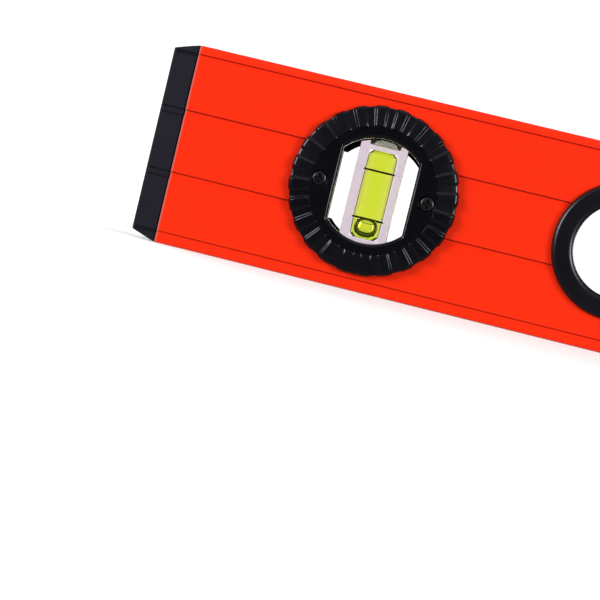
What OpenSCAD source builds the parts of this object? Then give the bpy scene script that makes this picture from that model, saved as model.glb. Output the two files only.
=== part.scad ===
// Box-section spirit level with two hand holes, a centre vial and a rotary plumb vial at each end.
//
// The level stands on its milled base. X runs along the beam, Z is up, and the front face looks
// towards -Y. The origin is the middle of the base. The right-hand rotary vial is the left-hand one
// turned half a turn about Z, so each face of the beam shows one thumb ring and one graduated lens.

/* [Beam] */
// Overall length, over both end caps
level_length = 600; // [560:1:1200]
// Height of the beam section
beam_height = 60; // [58:0.5:62]
// Depth of the beam section, front face to back face
beam_depth = 25; // [25:0.5:28]
// Thickness of the two side walls
side_wall = 1.6; // [1.4:0.1:1.8]
// Thickness of the base and the top
flange_wall = 2.6; // [2:0.1:3]
// Radius of the two long top edges
top_edge_radius = 2.2; // [1:0.1:2.4]
// Radius of the two long edges of the base
base_edge_radius = 0.5; // [0.3:0.1:0.8]

/* [Face grooves] */
// Width of the two wide grooves on each face
groove_width = 2; // [1:0.1:2.4]
// Depth of the two wide grooves
groove_depth = 0.5; // [0.3:0.1:0.7]
// Distance of each wide groove from mid-height
groove_offset = 9.4; // [8:0.1:11]
// Width of the two fine grooves near the edges
fine_groove_width = 0.8; // [0.5:0.1:1]
// Depth of the two fine grooves
fine_groove_depth = 0.35; // [0.2:0.05:0.5]
// Distance of each fine groove from the nearest edge
fine_groove_inset = 3.2; // [2.8:0.1:4]

/* [End caps] */
// How far a cap stands out past the end of the beam
cap_length = 7.6; // [6:0.1:10]
// How much a cap loses at its top and at its bottom over that length
cap_taper_height = 2.5; // [1:0.1:3.5]
// How much a cap loses at its front and at its back over that length
cap_taper_depth = 0.9; // [0.5:0.1:1.5]
// How far the plug of a cap goes into the beam
plug_length = 18; // [12:0.5:24]

/* [Hand holes] */
// Gap along the beam from a rotary vial's axis to the edge of the grip
grip_gap = 53.8; // [50:0.1:58]
// Straight part of a hand hole, between the centres of its round ends
grip_straight = 92; // [80:0.5:96]
// Radius of the round ends of the opening
grip_opening_radius = 13.75; // [13:0.05:14]
// Radius of the round ends of the grip's flange
grip_flange_radius = 20.2; // [19.5:0.1:20.5]
// How far the flange stands out from the face of the beam
grip_proud = 2; // [1.5:0.1:2.5]

/* [Rotary vials] */
// Distance of a rotary vial's axis from the end of the beam
dial_inset = 59.8; // [50:0.1:70]
// Outer radius of the thumb ring, over its ribs
ring_radius = 25.1; // [24.8:0.1:25.4]
// Radius of the flat face inside the ribs
ring_face_radius = 18.8; // [18.4:0.1:19.4]
// How far the ribs stand out from the face of the beam
ring_proud = 3.5; // [3:0.1:4.5]
// Number of ribs round the thumb ring
rib_count = 24; // [18:1:30]
// Share of each rib's pitch that is rib
rib_share = 0.57; // [0.4:0.01:0.7]
// Radius of the round ends of the viewing window
window_radius = 15.5; // [15:0.1:15.8]
// Width of the viewing window
window_width = 22.8; // [20:0.1:24]
// Distance of each ring screw from the axis
screw_offset = 16.2; // [16:0.1:16.5]
// Radius of the rotating vial carrier
carrier_radius = 21.42; // [21.3:0.01:21.45]
// Outer radius of the fixed housing's flanges
housing_radius = 25.6; // [25.3:0.1:26]

/* [Plumb vials] */
// Width of a plumb vial block
block_width = 14.3; // [13.5:0.1:14.5]
// Length of a plumb vial block
block_length = 35; // [34:0.1:35.5]
// Thickness of a plumb vial block, front to back
block_depth = 15; // [12:0.1:15.5]
// Radius of the liquid column at its middle
barrel_radius = 4.4; // [4.2:0.05:4.6]
// Length of the liquid column
barrel_length = 26.4; // [25.5:0.1:26.6]
// Height of the liquid column's middle above the vial's axis
barrel_shift = -0.9; // [-1.2:0.1:0]
// Distance between the two reading lines
line_spacing = 14.4; // [12:0.1:16]
// Radius of a plumb vial's bubble
bubble_radius = 3.6; // [3:0.05:3.7]
// Height of a plumb vial's bubble
bubble_height = 6.2; // [5.4:0.1:7]
// Place of the left bubble along its vial, above the dial's axis
bubble_place_left = -10.6; // [-10.6:0.1:8]
// Place of the right bubble along its vial, above the dial's axis
bubble_place_right = 6.1; // [-10.6:0.1:8]

/* [Centre vial] */
// Length of the notch in the top of the beam
notch_length = 68; // [66:0.5:72]
// Depth of the notch
notch_depth = 25; // [24:0.5:27]
// Length of the centre vial block
centre_block_length = 55.6; // [54:0.1:56]
// Height of the centre vial block
centre_block_height = 18; // [17:0.1:18.5]
// Depth of the centre vial block, front to back
centre_block_depth = 14; // [13:0.1:15]
// Radius of the centre liquid column at its middle
centre_barrel_radius = 5; // [4.6:0.05:5.2]
// Length of the centre liquid column
centre_barrel_length = 42; // [38:0.5:43]
// Distance between the centre reading lines
centre_line_spacing = 16; // [14:0.1:18]
// Length of the centre bubble
centre_bubble_length = 15.4; // [12:0.1:16]

/* [Hidden] */
$fn = 96;

past = 1;                  // how far a cutting shape runs past the face it cuts
gap = 0.1;                 // clearance between parts that slide together on assembly
film = 0.03;               // clearance between a liquid or a printed line and its wall
mid = beam_height / 2;     // height of the vial axes and the hand holes
face = beam_depth / 2;     // distance of each face from the middle plane
beam_end = level_length / 2 - cap_length;
dial_x = -(beam_end - dial_inset);
grip_x = dial_x + grip_gap + grip_flange_radius + grip_straight / 2;
fine_offset = mid - fine_groove_inset;

// ---- placing -------------------------------------------------------------------------------

// Stands a flat (Y, Z) outline up and runs it along X.
module along_x(length) {
    rotate([90, 0, 90]) linear_extrude(length, center = true) children();
}

// Stands a flat (X, Z) outline up and runs it along Y.
module along_y(length) {
    rotate([90, 0, 0]) linear_extrude(length, center = true) children();
}

// Puts a rotary vial's parts in place. Their own Z points out of the thumb ring, and their Y is up.
module at_dial(side) {
    rotate([0, 0, side < 0 ? 0 : 180]) translate([dial_x, 0, mid]) rotate([90, 0, 0]) children();
}

// Puts a grip shell in place. Its own Z points out of the face that it lies on.
module at_grip(side, front) {
    mirror([0, front ? 0 : 1, 0]) translate([side * -grip_x, 0, mid]) rotate([90, 0, 0]) children();
}

// Puts the left-hand thing at the other end too.
module at_end(side) {
    rotate([0, 0, side < 0 ? 0 : 180]) children();
}

// Lays a shape that runs along Z down along its holder's Y.
module upright() {
    rotate([-90, 0, 0]) children();
}

// ---- outlines ------------------------------------------------------------------------------

function corner(x, y, r, start) = [
    for (step = [0:4]) [x + r * cos(start + step * 22.5), y + r * sin(start + step * 22.5)]
];

// A rectangle about the origin with round corners.
function rounded(w, h, r) = concat(
    corner(w / 2 - r, h / 2 - r, r, 0), corner(r - w / 2, h / 2 - r, r, 90),
    corner(r - w / 2, r - h / 2, r, 180), corner(w / 2 - r, r - h / 2, r, 270)
);

// A notch, open at its top, with round bottom corners.
function notch(w, bottom, top, r) = concat(
    [[w / 2, top], [-w / 2, top]],
    corner(r - w / 2, bottom + r, r, 180), corner(w / 2 - r, bottom + r, r, 270)
);

module obround(straight, r) {
    square([straight, 2 * r], center = true);
    for (end = [-1, 1]) translate([end * straight / 2, 0]) circle(r);
}

// Carries a (radius, height) outline round an obround track.
module round_track(straight) {
    for (turn = [0, 180]) rotate([0, 0, turn]) {
        rotate([90, 0, 90]) linear_extrude(straight, center = true) children();
        translate([straight / 2, 0, 0]) rotate([0, 0, -90]) rotate_extrude(angle = 180) children();
    }
}

// The window through a thumb ring and its carrier.
module window_outline() {
    intersection() {
        circle(window_radius);
        square([window_width, 3 * window_radius], center = true);
    }
}

// ---- beam ----------------------------------------------------------------------------------

// The grooves of both faces, as strips to cut away.
module groove_strips() {
    for (side = [-1, 1], level = [-1, 1]) {
        translate([side * face, level * groove_offset])
            square([2 * groove_depth, groove_width], center = true);
        translate([side * face, level * fine_offset])
            square([2 * fine_groove_depth, fine_groove_width], center = true);
    }
}

// The section's outside, with its large top radii and small base radii.
module beam_outline() {
    top = top_edge_radius;
    low = base_edge_radius;
    for (side = [-1, 1]) {
        translate([side * (face - top), mid - top]) circle(top);
        translate([side * (face - low), low - mid]) circle(low);
    }
    translate([-face, low - mid]) square([beam_depth, beam_height - low - top]);
    translate([low - face, -mid]) square([beam_depth - 2 * low, 2 * low]);
    translate([top - face, mid - 2 * top]) square([beam_depth - 2 * top, 2 * top]);
}

module beam_section() {
    difference() {
        beam_outline();
        polygon(rounded(beam_depth - 2 * side_wall, beam_height - 2 * flange_wall, 1.5));
        groove_strips();
    }
}

hub_radius = 23.4;     // the housing's front spigot and its waist
front_hole = hub_radius + gap;
back_hole = housing_radius + gap;

module beam() {
    color("orangered") difference() {
        translate([0, 0, mid]) along_x(2 * beam_end) beam_section();
        for (side = [-1, 1]) {
            at_dial(side) {
                cylinder(h = beam_depth + 2 * past, r = front_hole, center = true);
                translate([0, 0, -face - past])
                    cylinder(h = side_wall + 1.5 + past, r = back_hole);
            }
            at_grip(side, true)
                linear_extrude(beam_depth + 2 * past, center = true) obround(grip_straight, 18);
        }
        along_y(beam_depth + 2 * past)
            polygon(notch(notch_length, beam_height - notch_depth, beam_height + past, 3));
    }
}

// ---- end caps ------------------------------------------------------------------------------

cap_groove_length = 5.6;   // the grooves fade out before the cap's end face

module cap_head() {
    outer = level_length / 2;
    intersection() {
        along_y(beam_depth) polygon([
            [-outer, cap_taper_height], [-outer, beam_height - cap_taper_height],
            [-beam_end, beam_height], [-beam_end, 0]
        ]);
        linear_extrude(beam_height) polygon([
            [-outer, cap_taper_depth - face], [-outer, face - cap_taper_depth],
            [-beam_end, face], [-beam_end, -face]
        ]);
        translate([-beam_end, 0, mid]) along_x(3 * cap_length) beam_outline();
    }
}

module cap_plug() {
    wide = beam_depth - 2 * side_wall - 2 * gap;
    tall = beam_height - 2 * flange_wall - 2 * gap;
    skin = 2;
    translate([plug_length / 2 - beam_end, 0, mid]) difference() {
        along_x(plug_length) polygon(rounded(wide, tall, 1.6));
        translate([skin, 0, 0]) along_x(plug_length) difference() {
            square([wide - 2 * skin, tall - 2 * skin], center = true);
            for (level = [-1, 1]) translate([0, level * tall / 6]) square([wide, skin], center = true);
        }
    }
}

module end_cap(side) {
    color("#26262c") at_end(side) {
        difference() {
            cap_head();
            translate([cap_groove_length / 2 - beam_end - cap_groove_length, 0, mid])
                along_x(cap_groove_length) groove_strips();
        }
        cap_plug();
    }
}

// ---- grips ---------------------------------------------------------------------------------

grip_wall = 2.2;        // thickness of the sleeve that lines the hand hole
grip_collar = 17.9;     // radius of the collar that locates the shell in the beam's hole

module grip_outline() {
    r = grip_opening_radius;
    top = face + grip_proud;
    polygon([
        [r, 0.1], [r + grip_wall, 0.1], [r + grip_wall, face - 3], [grip_collar, face - 3],
        [grip_collar, face], [grip_flange_radius, face], [grip_flange_radius, top - 1.1],
        [grip_flange_radius - 0.9, top], [r + 0.9, top], [r, top - 0.9]
    ]);
}

// Tongues on the front shell, which lap over the sleeve of the back shell.
module grip_tongues() {
    inner = grip_opening_radius + grip_wall;
    for (side = [-1, 1], place = [-1, 1]) translate([place * grip_straight / 3, side * inner, 0]) {
        translate([0, side * 0.65, 3]) cube([10, 1.5, 5.4], center = true);
        translate([0, side * 0.75, 0]) cube([10, 1.3, 8], center = true);
    }
}

module grip_shell(side, front) {
    color("#1c1c20") at_grip(side, front) {
        round_track(grip_straight) grip_outline();
        if (front) grip_tongues();
    }
}

// ---- rotary vials --------------------------------------------------------------------------

lip_height = 10.3;      // inner face of the housing's lip, above the middle plane
seat_height = 11.1;     // floor of the lens seat, below the middle plane
lens_radius = 24.85;
carrier_back = 10.4;
ring_back = face + 0.2;
pocket_depth = block_depth / 2 + 0.05;

module dial_housing() {
    bore = carrier_radius + 0.08;
    color("#17171a") rotate_extrude() polygon([
        [lens_radius + 0.05, -face - 0.3], [housing_radius, -face - 0.3], [housing_radius, -9],
        [hub_radius, -9], [hub_radius, 8.9], [housing_radius, 8.9],
        [housing_radius, face - side_wall - 0.05], [hub_radius, face - side_wall - 0.05],
        [hub_radius, face - 0.2], [carrier_radius - 1.22, face - 0.2],
        [carrier_radius - 1.22, lip_height], [bore, lip_height], [bore, -seat_height],
        [lens_radius + 0.05, -seat_height]
    ]);
}

module scale_lens() {
    color("white", 0.3) translate([0, 0, -face - 0.15])
        cylinder(h = face + 0.15 - seat_height - 0.24, r = lens_radius);
}

module scale_ring() {
    color("#101020") translate([0, 0, -seat_height - 0.22]) difference() {
        cylinder(h = 0.2, r = lens_radius - 0.05);
        translate([0, 0, -past]) cylinder(h = 0.2 + 2 * past, r = 17.8);
    }
}

side_relief = 1.2;         // how far each side of the window is set back from the thumb ring's

module vial_carrier() {
    spigot = carrier_radius - 1.3;
    color("#17171a") {
        difference() {
            rotate_extrude() polygon([
                [0, -carrier_back], [carrier_radius, -carrier_back], [carrier_radius, -3.95],
                [19.8, -3.95], [19.8, -2.05], [carrier_radius, -2.05],
                [carrier_radius, lip_height - 0.1], [spigot, lip_height - 0.1],
                [spigot, ring_back - 0.02], [0, ring_back - 0.02]
            ]);
            translate([0, 0, -carrier_back - past])
                linear_extrude(carrier_back + ring_back + 2 * past) window_outline();
            // The window's sides are wider here than in the thumb ring, so they stay out of the view.
            translate([0, 0, -carrier_back - past])
                linear_extrude(carrier_back + ring_back + 2 * past)
                    square([window_width + 2 * side_relief, 21], center = true);
            translate([-block_width / 2 - 0.05, -block_length / 2 - 0.05, -pocket_depth])
                cube([block_width + gap, block_length + gap, pocket_depth + ring_back + past]);
            for (side = [-1, 1]) translate([side * screw_offset, 0, 0])
                cylinder(h = ring_back + past, r = 1.25);
            translate([0, 0, -carrier_back - past]) linear_extrude(8.4 + past) difference() {
                circle(18.6);
                square([window_width + 2 * side_relief + 3.2, 40], center = true);
                square([40, 1.6], center = true);
            }
        }
        for (side = [-1, 1]) rotate([0, 0, side > 0 ? 0 : 180])
            translate([0, 0, -carrier_back - 0.4]) linear_extrude(0.5)
                polygon([[-1.3, 15.9], [1.3, 15.9], [0, 17.5]]);
    }
}

module friction_ring() {
    color("black") translate([0, 0, -3]) rotate_extrude() translate([20.64, 0]) circle(0.8);
}

rib_rise = 0.5;            // how far a rib stands above the ring's face
rib_half = 180 / rib_count * rib_share;

module rib_wedges() {
    for (turn = [0:rib_count - 1]) rotate([0, 0, (turn + 0.5) * 360 / rib_count]) polygon([
        for (end = [[17, -1], [30, -1], [30, 1], [17, 1]])
            end[0] * [cos(rib_half), end[1] * sin(rib_half)]
    ]);
}

module thumb_ring() {
    top = face + ring_proud;
    face_top = top - rib_rise;
    rim = ring_radius - 0.4;
    color("#17171a") difference() {
        union() {
            rotate_extrude() polygon([
                [0, ring_back], [rim, ring_back], [rim, face_top - 1.2],
                [ring_face_radius, face_top], [0, face_top]
            ]);
            intersection() {
                translate([0, 0, ring_back]) linear_extrude(top) rib_wedges();
                rotate_extrude() polygon([
                    [ring_face_radius - 0.1, ring_back + 0.5], [ring_radius, ring_back + 0.5],
                    [ring_radius, top - 1.5], [ring_radius - 0.5, top - 0.9],
                    [ring_face_radius + 0.2, top], [ring_face_radius - 0.1, top - 0.3]
                ]);
            }
            for (side = [-1, 1]) translate([0, side * 16.5, (pocket_depth + ring_back) / 2 + 0.05])
                cube([12, 1.6, ring_back - pocket_depth + 0.1], center = true);
        }
        translate([0, 0, ring_back - 6]) linear_extrude(12) window_outline();
        for (side = [-1, 1]) translate([side * screw_offset, 0, 0]) {
            translate([0, 0, ring_back - past]) cylinder(h = 6, r = 1.4);
            translate([0, 0, face_top - 1.5]) cylinder(h = 3, r = 2.5);
        }
    }
}

// A screw with its head's top at the origin, pointing down.
module screw(shank, head_radius = 2.3) {
    difference() {
        union() {
            translate([0, 0, -1.3]) cylinder(h = 1.3, r = head_radius);
            translate([0, 0, -shank]) cylinder(h = shank, r = 1.2);
        }
        for (turn = [0, 90]) rotate([0, 0, turn]) translate([0, 0, -0.3])
            cube([2.6, 0.6, 1.2], center = true);
    }
}

module ring_screws() {
    color("#202022") for (side = [-1, 1])
        translate([side * screw_offset, 0, face + ring_proud - rib_rise - 0.15]) screw(12);
}

// ---- vials ---------------------------------------------------------------------------------

// A liquid column about Z: widest in its middle, with a chamfer at each end.
function barrel_side(length, r, drop, chamfer) = [
    for (step = [-4:4]) let (share = step / 4)
        [r - drop * share * share, share * (length / 2 - chamfer)]
];

module barrel(length, r, drop = 0.15, chamfer = 1.2) {
    rotate_extrude() polygon(concat(
        [[0, -length / 2], [r - drop - chamfer, -length / 2]], barrel_side(length, r, drop, chamfer),
        [[r - drop - chamfer, length / 2], [0, length / 2]]
    ));
}

// Two thin bands about Z, which mark where a centred bubble ends.
module reading_bands(spacing, inner, outer, width) {
    for (end = [-1, 1]) translate([0, 0, end * spacing / 2]) difference() {
        cylinder(h = width, r = outer, center = true);
        cylinder(h = width + past, r = inner, center = true);
    }
}

plug_hole = 4.6;
plug_neck = 1.8;        // radius of the filling hole, which the plug's tip closes
neck_length = 1.2;
plumb_top = barrel_shift + barrel_length / 2;
travel_top = plumb_top - 0.3 - bubble_height / 2;
travel_bottom = plumb_top - barrel_length + 0.35 + bubble_height / 2;

// The stepped hole that a vial is filled through, from the end of its liquid outwards.
module filling_hole(reach) {
    translate([0, 0, -0.01]) cylinder(h = neck_length + past, r = plug_neck);
    translate([0, 0, neck_length]) cylinder(h = reach, r = plug_hole);
}

// The plug for that hole, with its tip at the liquid.
module filling_plug(reach) {
    cylinder(h = neck_length + past, r = plug_neck - film);
    translate([0, 0, neck_length + film])
        cylinder(h = reach - neck_length - gap, r = plug_hole - film);
}

module plumb_block() {
    color("white", 0.3) difference() {
        cube([block_width, block_length, block_depth], center = true);
        upright() {
            translate([0, 0, barrel_shift]) {
                barrel(barrel_length, barrel_radius);
                reading_bands(line_spacing, barrel_radius - 1, barrel_radius + 0.25, 0.5);
            }
            translate([0, 0, plumb_top]) filling_hole(block_length);
        }
    }
}

module plumb_plug() {
    color("white", 0.5) upright() translate([0, 0, plumb_top])
        filling_plug(block_length / 2 - plumb_top);
}

module plumb_lines() {
    color("black") upright() translate([0, 0, barrel_shift])
        reading_bands(line_spacing, barrel_radius, barrel_radius + 0.22, 0.44);
}

// A bubble about Z that fills most of its barrel, stretched along Z by travel and grown by more.
module wide_bubble(travel = 0, more = 0) {
    r = bubble_radius + more;
    half = bubble_height / 2 + more;
    round = half * 0.85;
    rotate_extrude() {
        translate([0, -half]) square([r - round, travel + 2 * half]);
        translate([0, round - half]) square([r, travel + 2 * (half - round)]);
        for (z = [round - half, travel + half - round]) translate([r - round, z])
            intersection() {
                circle(round);
                translate([0, -round]) square(2 * round);
            }
    }
}

// The liquid, with the channel that its bubble can travel along.
module plumb_liquid() {
    color("#cfe02e") upright() difference() {
        translate([0, 0, barrel_shift]) barrel(barrel_length - film, barrel_radius - film);
        translate([0, 0, travel_bottom]) wide_bubble(travel_top - travel_bottom, 0.15);
    }
}

module plumb_bubble(place) {
    color("#f0f0a0") upright() translate([0, 0, place]) wide_bubble();
}

// ---- centre vial ---------------------------------------------------------------------------

plate_x = 38;              // half length of the frame's face plate
plate_bottom = 31;
plate_proud = 1.2;
centre_window_x = 26;      // half length of the window
centre_window_bottom = 41;
centre_window_top = 56;
vial_bottom = 39;
vial_top = vial_bottom + centre_block_height;
centre_axis = (centre_window_bottom + centre_window_top) / 2;
frame_screw_x = 31;
frame_screw_z = 47;
lens_bottom = 58.2;

// One half of the frame, on the front of the beam.
module centre_frame_half(head) {
    tall = beam_height - plate_bottom;
    difference() {
        union() {
            translate([0, -face - plate_proud / 2, plate_bottom + tall / 2]) along_y(plate_proud)
                polygon(rounded(2 * plate_x, tall, 2.5));
            translate([0, -face / 2 - 0.05, 0]) along_y(face) polygon(notch(
                notch_length - 2 * gap, beam_height - notch_depth + gap, beam_height - 0.2, 3
            ));
        }
        translate([0, -centre_block_depth / 4 + 0.5, (vial_bottom + vial_top) / 2]) cube([
            centre_block_length + gap, centre_block_depth / 2 + 1.1, centre_block_height + gap
        ], center = true);
        translate([0, -face, (centre_window_bottom + centre_window_top) / 2]) along_y(2 * face - 8)
            polygon(rounded(2 * centre_window_x, centre_window_top - centre_window_bottom, 3));
        translate([-centre_window_x, -6.5, vial_top - 1]) cube([2 * centre_window_x, 8, 10]);
        translate([-27.6, -8.1, lens_bottom]) cube([55.2, 10, 10]);
        for (side = [-1, 1]) translate([side * frame_screw_x, 0, frame_screw_z]) rotate([90, 0, 0]) {
            translate([0, 0, -past]) cylinder(h = head ? 2 * face : 8, r = head ? 1.3 : 1.25);
            if (head) translate([0, 0, face - 0.3]) cylinder(h = 2 * face, r = 2.5);
        }
    }
}

module centre_frame(front) {
    color("#1c1c20") mirror([0, front ? 0 : 1, 0]) centre_frame_half(front);
}

module centre_frame_screws() {
    color("#202022") for (side = [-1, 1])
        translate([side * frame_screw_x, -face - 1.1, frame_screw_z]) rotate([90, 0, 0]) screw(20);
}

module centre_top_lens() {
    color("white", 0.3) translate([-27.5, -8, lens_bottom + 0.02]) cube([55, 16, 1.5]);
}

// Lays the centre vial's parts along X, with their +Z end to the right.
module at_centre() {
    translate([0, 0, centre_axis]) rotate([0, 90, 0]) children();
}

centre_shift = -1;         // the liquid column sits left of the middle, and the plug right of it
centre_plug_start = centre_shift + centre_barrel_length / 2;
bubble_r = 2.5;
bubble_lift = 1.7;         // the bubble floats against the top of the barrel
bubble_core = centre_bubble_length - 2 * bubble_r;
centre_travel = 11;

module centre_vial_block() {
    color("white", 0.3) difference() {
        translate([0, 0, (vial_bottom + vial_top) / 2])
            cube([centre_block_length, centre_block_depth, centre_block_height], center = true);
        at_centre() {
            translate([0, 0, centre_shift]) barrel(centre_barrel_length, centre_barrel_radius, 0.25);
            reading_bands(centre_line_spacing, 3, centre_barrel_radius + 0.25, 0.6);
            translate([0, 0, centre_plug_start]) filling_hole(centre_block_length);
        }
    }
}

module centre_vial_plug() {
    color("white", 0.5) at_centre() translate([0, 0, centre_plug_start])
        filling_plug(centre_block_length / 2 - centre_plug_start);
}

module centre_vial_lines() {
    color("black") at_centre() reading_bands(
        centre_line_spacing, centre_barrel_radius, centre_barrel_radius + 0.22, 0.54
    );
}

// A round-ended rod along Z, lifted to where the bubble floats.
module floating_rod(core, r) {
    translate([-bubble_lift, 0, 0]) {
        cylinder(h = core, r = r, center = true);
        for (end = [-1, 1]) translate([0, 0, end * core / 2]) sphere(r);
    }
}

module centre_vial_liquid() {
    color("#cfe02e") at_centre() difference() {
        translate([0, 0, centre_shift])
            barrel(centre_barrel_length - film, centre_barrel_radius - film, 0.25);
        floating_rod(bubble_core + 2 * centre_travel + 0.4, bubble_r + 0.2);
    }
}

module centre_bubble() {
    color("#f0f0a0") at_centre() floating_rod(bubble_core, bubble_r);
}

// ---- nodes ---------------------------------------------------------------------------------

beam();
end_cap(-1);  // end_cap_left
end_cap(1);  // end_cap_right
grip_shell(-1, true);  // grip_left_front
grip_shell(-1, false);  // grip_left_back
grip_shell(1, true);  // grip_right_front
grip_shell(1, false);  // grip_right_back
centre_frame(true);  // centre_frame_front
centre_frame(false);  // centre_frame_back
centre_frame_screws();
centre_top_lens();
centre_vial_block();
centre_vial_liquid();
centre_vial_lines();
centre_vial_plug();
centre_bubble();
at_dial(-1) dial_housing();  // dial_housing_left
at_dial(1) dial_housing();  // dial_housing_right
at_dial(-1) scale_lens();  // scale_lens_left
at_dial(1) scale_lens();  // scale_lens_right
at_dial(-1) scale_ring();  // scale_ring_left
at_dial(1) scale_ring();  // scale_ring_right
at_dial(-1) thumb_ring();  // thumb_ring_left
at_dial(1) thumb_ring();  // thumb_ring_right
at_dial(-1) vial_carrier();  // vial_carrier_left
at_dial(1) vial_carrier();  // vial_carrier_right
at_dial(-1) friction_ring();  // friction_ring_left
at_dial(1) friction_ring();  // friction_ring_right
at_dial(-1) ring_screws();  // ring_screws_left
at_dial(1) ring_screws();  // ring_screws_right
at_dial(-1) plumb_block();  // plumb_block_left
at_dial(1) plumb_block();  // plumb_block_right
at_dial(-1) plumb_liquid();  // plumb_liquid_left
at_dial(1) plumb_liquid();  // plumb_liquid_right
at_dial(-1) plumb_lines();  // plumb_lines_left
at_dial(1) plumb_lines();  // plumb_lines_right
at_dial(-1) plumb_plug();  // plumb_plug_left
at_dial(1) plumb_plug();  // plumb_plug_right
at_dial(-1) plumb_bubble(bubble_place_left);  // plumb_bubble_left
at_dial(1) plumb_bubble(bubble_place_right);  // plumb_bubble_right
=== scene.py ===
"""The looks of a box-section spirit level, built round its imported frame.

Finer pieces stand in for the plain solids that show most: the thumb rings, screws, vials, lenses,
printed scales, hand grips and end caps. Every other solid keeps its shape and gets a finish.
"""

import logging
import math
from collections.abc import Iterable, Sequence
from dataclasses import dataclass
from enum import Enum
from typing import Any

import bmesh
import bpy
from mathutils import Matrix, Vector


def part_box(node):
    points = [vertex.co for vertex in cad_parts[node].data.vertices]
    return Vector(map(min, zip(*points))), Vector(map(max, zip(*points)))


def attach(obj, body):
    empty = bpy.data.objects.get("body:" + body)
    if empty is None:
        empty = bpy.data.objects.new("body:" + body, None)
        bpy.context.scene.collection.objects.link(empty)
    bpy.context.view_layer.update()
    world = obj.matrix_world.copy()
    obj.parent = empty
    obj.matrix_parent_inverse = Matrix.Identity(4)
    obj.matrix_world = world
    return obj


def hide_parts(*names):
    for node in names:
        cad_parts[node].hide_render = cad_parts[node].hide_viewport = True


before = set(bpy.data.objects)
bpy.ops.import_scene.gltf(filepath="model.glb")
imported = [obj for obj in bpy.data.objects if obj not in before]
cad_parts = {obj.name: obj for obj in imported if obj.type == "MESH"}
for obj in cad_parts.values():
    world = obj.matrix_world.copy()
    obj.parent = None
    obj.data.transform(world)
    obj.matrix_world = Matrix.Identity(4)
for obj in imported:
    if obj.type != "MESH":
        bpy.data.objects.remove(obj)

MM = 0.001
ROOT = "level"
LOG = logging.getLogger("level")

Colour = tuple[float, float, float]
Triple = tuple[float, float, float]
Point = tuple[float, float]
Place = Matrix


class Side(Enum):
    """An end of the level, with the sign of its X."""

    LEFT = -1
    RIGHT = 1

    @property
    def word(self) -> str:
        """The end's name in node and body names."""
        return self.name.lower()


class Face(Enum):
    """A long face of the beam, with the sign of its Y."""

    FRONT = -1
    BACK = 1

    @property
    def word(self) -> str:
        """The face's name in node names."""
        return self.name.lower()


# ---- shaders -------------------------------------------------------------------------------


class Signal:
    """One socket of a node tree, on which Python's arithmetic adds Math nodes."""

    def __init__(self, graph: "Graph", socket: bpy.types.NodeSocket) -> None:
        """Wraps a socket of that tree."""
        self.graph = graph
        self.socket = socket

    def output(self, name: str) -> "Signal":
        """Another output of the same node."""
        return Signal(self.graph, self.socket.node.outputs[name])

    def _math(self, operation: str, *values: "Signal | float") -> "Signal":
        """Adds one Math node and returns its value."""
        settings = {"operation": operation}
        return self.graph.node("ShaderNodeMath", settings, dict(enumerate(values)))

    def __add__(self, other: "Signal | float") -> "Signal":
        """Sum."""
        return self._math("ADD", self, other)

    def __radd__(self, other: float) -> "Signal":
        """Sum, with the number first."""
        return self._math("ADD", other, self)

    def __sub__(self, other: "Signal | float") -> "Signal":
        """Difference."""
        return self._math("SUBTRACT", self, other)

    def __rsub__(self, other: float) -> "Signal":
        """Difference, with the number first."""
        return self._math("SUBTRACT", other, self)

    def __mul__(self, other: "Signal | float") -> "Signal":
        """Product."""
        return self._math("MULTIPLY", self, other)

    def __rmul__(self, other: float) -> "Signal":
        """Product, with the number first."""
        return self._math("MULTIPLY", other, self)

    def __abs__(self) -> "Signal":
        """Size without sign."""
        return self._math("ABSOLUTE", self)

    def step(self, low: float, high: float) -> "Signal":
        """Rises smoothly from 0 at low to 1 at high, or falls where low is the larger.

        Args:
            low: Where the result is 0.
            high: Where the result is 1.

        Returns:
            The smooth step.
        """
        if low > high:
            return 1.0 - self.step(high, low)
        settings = {"interpolation_type": "SMOOTHSTEP"}
        return self.graph.node("ShaderNodeMapRange", settings, {0: self, 1: low, 2: high})


class Graph:
    """A tree of shader nodes."""

    def __init__(self, tree: bpy.types.NodeTree) -> None:
        """Empties the tree."""
        self.tree = tree
        tree.nodes.clear()

    def node(
        self,
        kind: str,
        settings: dict[str, Any] | None = None,
        values: dict[Any, Any] | None = None,
        output: int | str = 0,
    ) -> Signal:
        """Adds any node.

        Args:
            kind: The node's type.
            settings: Its properties, which are set first.
            values: Numbers or links of its inputs, by name or place.
            output: Which output to return.

        Returns:
            That output.
        """
        made = self.tree.nodes.new(kind)
        for name, setting in (settings or {}).items():
            setattr(made, name, setting)
        for name, value in (values or {}).items():
            self.put(made.inputs[name], value)
        return Signal(self, made.outputs[output])

    def put(self, socket: bpy.types.NodeSocket, value: Any) -> None:
        """Links or sets one input.

        Args:
            socket: The input.
            value: A link, a colour or a plain value.
        """
        if isinstance(value, Signal):
            self.tree.links.new(value.socket, socket)
        elif isinstance(value, tuple) and len(value) == 3 and socket.type == "RGBA":
            socket.default_value = (*value, 1.0)
        else:
            socket.default_value = value

    def end(self, kind: str, surface: Signal) -> None:
        """Ends the tree in an output node of that type."""
        last = self.tree.nodes.new(kind)
        self.put(last.inputs["Surface"], surface)


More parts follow.
